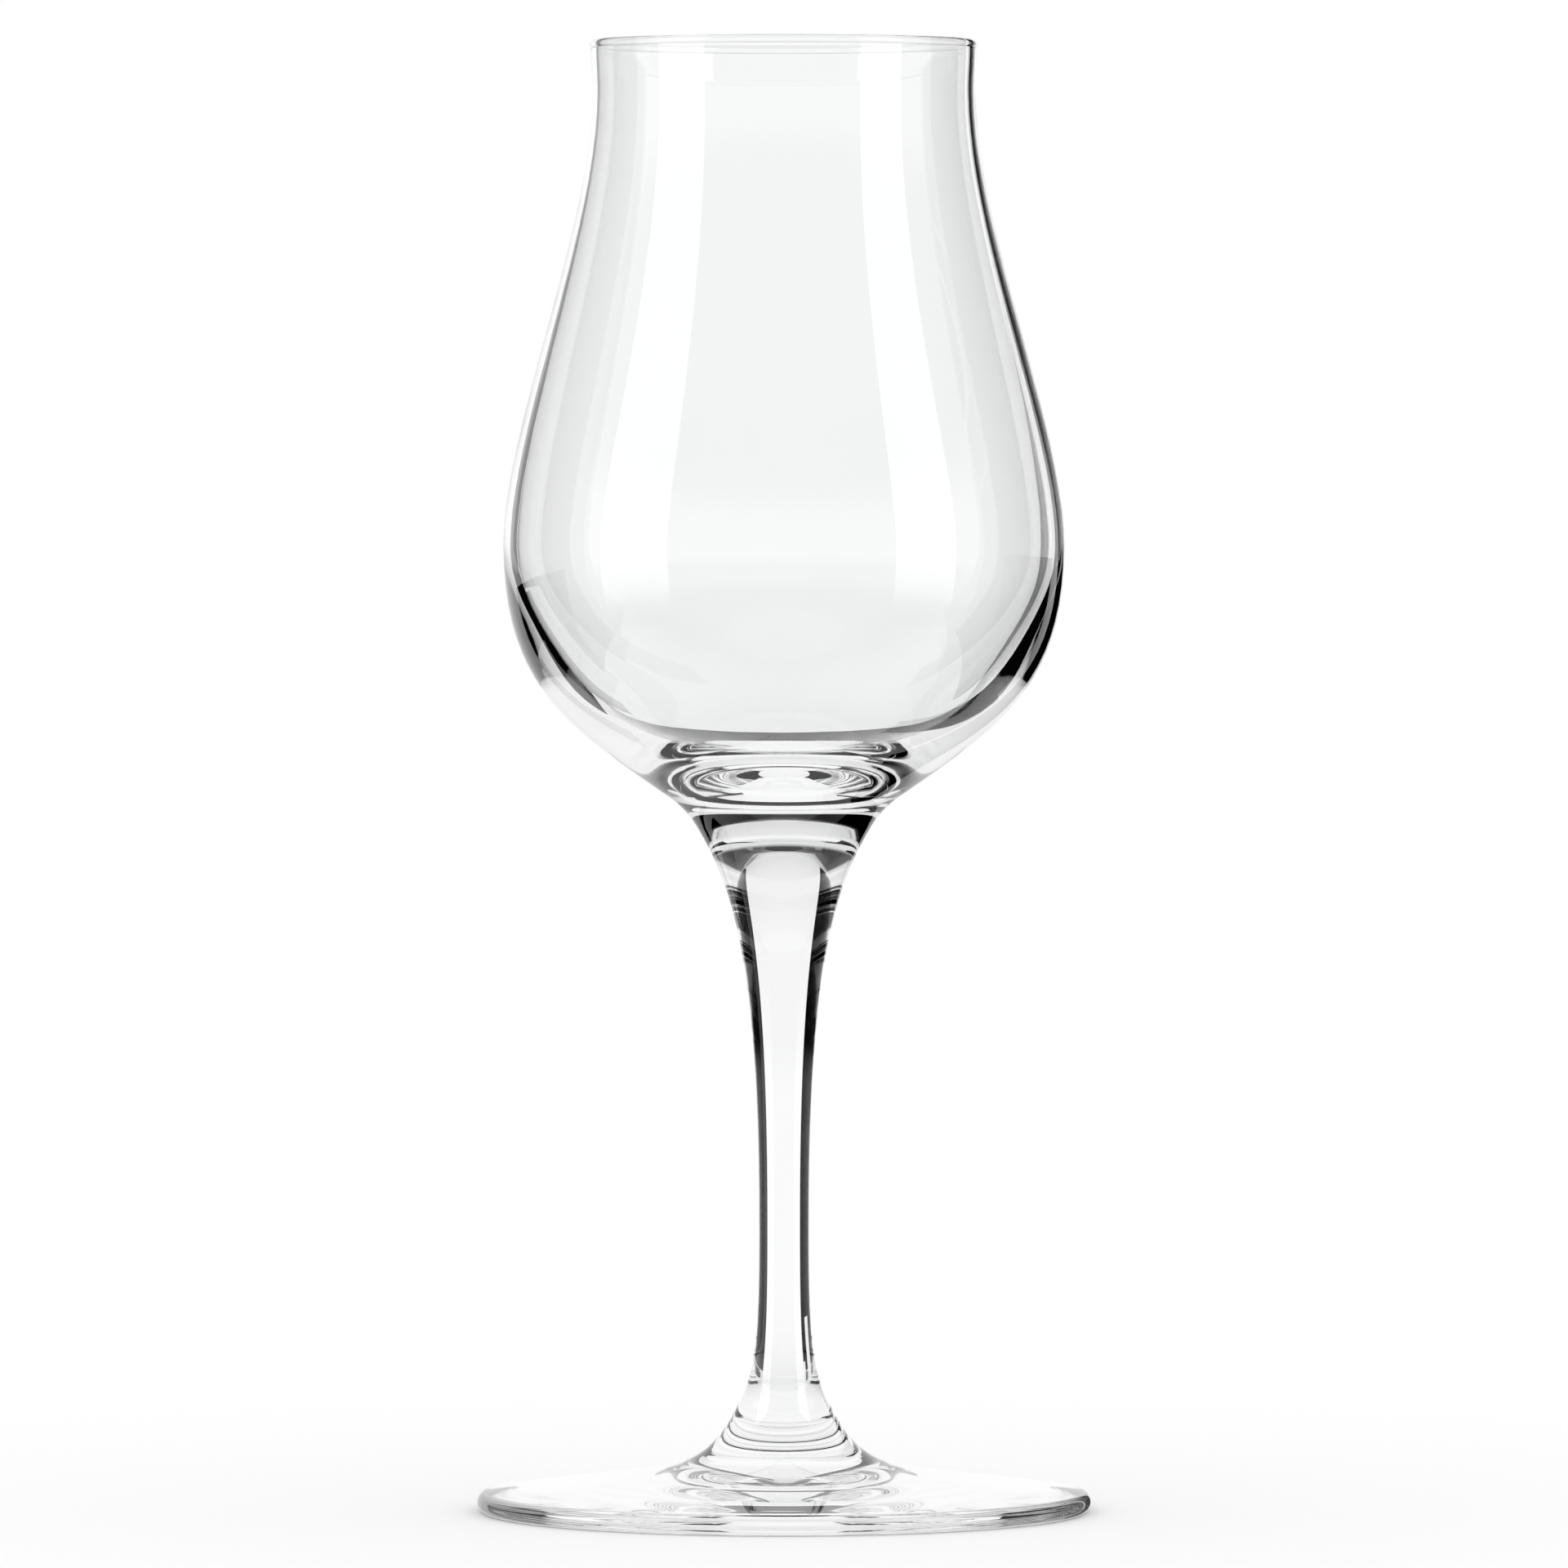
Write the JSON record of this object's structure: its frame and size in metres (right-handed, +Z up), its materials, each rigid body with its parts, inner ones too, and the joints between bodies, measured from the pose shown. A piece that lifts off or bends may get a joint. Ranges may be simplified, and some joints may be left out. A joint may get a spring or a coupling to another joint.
{
  "type": "grappa glass",
  "caption": "Clear stemmed tulip glass for grappa: a blown bowl with a beaded rim, a slender flared stem and a sloping round foot.",
  "frame": {"origin": "on the table, under the axis of the stem", "axes": "+Z up along the axis that the bowl, stem and foot are turned about; +X and +Y level and alike"},
  "size_m": [0.071, 0.071, 0.17],
  "materials": {
    "clear_glass": "clear fire-polished soda glass"
  },
  "bodies": {
    "root": {"bowl": "clear_glass", "stem": "clear_glass", "foot": "clear_glass"}
  },
  "joints": []
}
